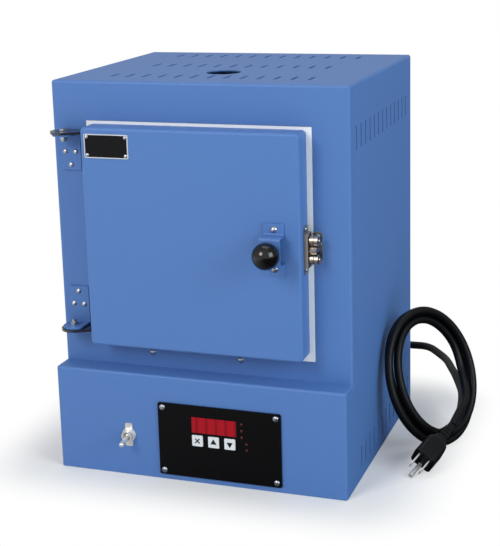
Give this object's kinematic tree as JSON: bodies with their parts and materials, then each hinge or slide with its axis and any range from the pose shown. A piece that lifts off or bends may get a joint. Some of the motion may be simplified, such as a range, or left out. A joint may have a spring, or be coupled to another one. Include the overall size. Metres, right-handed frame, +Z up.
{
  "type": "jewellery kiln",
  "caption": "Small front-loading jewellery kiln: blue steel case on a wider control base, side-hung door with ball knob and roller catch, keypad controller, power switch and coiled mains lead.",
  "frame": {"origin": "centre of the flat underside that the kiln rests on, halfway across the case's width and halfway between the base's front and the back panel", "axes": "+Z up, -Y is the front with the door and the controls, +X towards the side where the mains lead lies"},
  "size_m": [0.427, 0.4463, 0.43],
  "materials": {
    "blue_paint": "semi-gloss powder coat",
    "zinc_sheet": "galvanised, dull",
    "zinc_screws": "zinc plated",
    "ceramic_fibre": "matt, fibrous",
    "element_wire": "oxidised heating wire",
    "porcelain": "glazed",
    "probe_sheath": "heat-tinted",
    "black_steel": "satin black",
    "rivets": "bright",
    "black_phenolic": "glossy",
    "anodised_plate": "dark anodised, bare",
    "bright_steel": "nickel plated",
    "spring_steel": "bright",
    "face_film": "satin film",
    "display_window": "glossy red filter",
    "key_caps": "satin",
    "indicator_lights": "clear red",
    "circuit_board": "solder mask",
    "relay_case": "satin",
    "transformer": "varnished laminations",
    "terminal_strip": "satin",
    "black_rubber": "satin",
    "plug_blades": "nickel plated"
  },
  "bodies": {
    "case": {"case_wrap": "blue_paint", "case_front": "blue_paint", "base_front": "blue_paint", "back_panel": "blue_paint", "bottom_pan": "zinc_sheet", "muffle_shelf": "zinc_sheet", "back_screws": "zinc_screws", "shelf_screws": "zinc_screws", "muffle": "ceramic_fibre", "element_left": "element_wire", "element_right": "element_wire", "element_terminals": "porcelain", "thermocouple": "probe_sheath", "thermocouple_head": "porcelain", "hinge_bracket_upper": "blue_paint", "hinge_bracket_lower": "blue_paint", "hinge_bolts": "zinc_screws", "hinge_nuts": "zinc_screws", "hinge_rivets": "rivets", "catch_strike": "bright_steel", "strike_screws": "zinc_screws", "control_faceplate": "face_film", "faceplate_screws": "zinc_screws", "display_window": "display_window", "indicator_lights": "indicator_lights", "controller_board": "circuit_board", "toggle_plate": "bright_steel", "toggle_body": "bright_steel", "toggle_nut": "bright_steel", "relay": "relay_case", "transformer": "transformer", "terminal_strip": "terminal_strip", "strain_relief": "black_rubber", "power_cord": "black_rubber", "cord_coil": "black_rubber", "plug_lead": "black_rubber", "plug_body": "black_rubber", "plug_blades": "plug_blades"},
    "door": {"door_pan": "blue_paint", "door_fibre": "ceramic_fibre", "door_strap_upper": "black_steel", "door_strap_lower": "black_steel", "knob_bracket": "blue_paint", "knob": "black_phenolic", "knob_screws": "zinc_screws", "door_plate": "anodised_plate", "plate_rivets": "rivets", "catch_housing": "bright_steel", "catch_screws": "zinc_screws", "catch_spring_upper": "spring_steel", "catch_spring_lower": "spring_steel"},
    "upper_slider": {"catch_slider_upper": "bright_steel"},
    "lower_slider": {"catch_slider_lower": "bright_steel"},
    "upper_roller": {"catch_roller_upper": "bright_steel"},
    "lower_roller": {"catch_roller_lower": "bright_steel"},
    "enter_key": {"key_enter": "key_caps"},
    "up_key": {"key_up": "key_caps"},
    "down_key": {"key_down": "key_caps"},
    "switch_lever": {"toggle_lever": "bright_steel"}
  },
  "joints": [
    {"name": "door_hinge", "type": "hinge", "parent": "case", "child": "door", "pos_m": [-0.145, -0.14125, 0.2683], "axis": [0, 0, -1], "range_deg": [0, 160]},
    {"name": "upper_slider_slide", "type": "slide", "parent": "door", "child": "upper_slider", "axis": [0, 0, 1], "range_m": [0, 0.0015], "stiffness_N_per_m": 3000, "springref_m": -0.001, "deforming": ["catch_spring_upper"]},
    {"name": "lower_slider_slide", "type": "slide", "parent": "door", "child": "lower_slider", "axis": [0, 0, -1], "range_m": [0, 0.0015], "stiffness_N_per_m": 3000, "springref_m": -0.001, "deforming": ["catch_spring_lower"]},
    {"name": "upper_roller_spin", "type": "hinge", "parent": "upper_slider", "child": "upper_roller", "pos_m": [0.1297, -0.13725, 0.2731], "axis": [1, 0, 0], "continuous": true},
    {"name": "lower_roller_spin", "type": "hinge", "parent": "lower_slider", "child": "lower_roller", "pos_m": [0.1297, -0.13725, 0.2535], "axis": [1, 0, 0], "continuous": true},
    {"name": "enter_key_press", "type": "slide", "parent": "case", "child": "enter_key", "axis": [0, 1, 0], "range_m": [0, 0.0005], "stiffness_N_per_m": 1200, "springref_m": -0.0005},
    {"name": "up_key_press", "type": "slide", "parent": "case", "child": "up_key", "axis": [0, 1, 0], "range_m": [0, 0.0005], "stiffness_N_per_m": 1200, "springref_m": -0.0005},
    {"name": "down_key_press", "type": "slide", "parent": "case", "child": "down_key", "axis": [0, 1, 0], "range_m": [0, 0.0005], "stiffness_N_per_m": 1200, "springref_m": -0.0005},
    {"name": "switch_lever_tilt", "type": "hinge", "parent": "case", "child": "switch_lever", "pos_m": [-0.0806, -0.15525, 0.0464], "axis": [-1, 0, 0], "range_deg": [0, 26]}
  ]
}
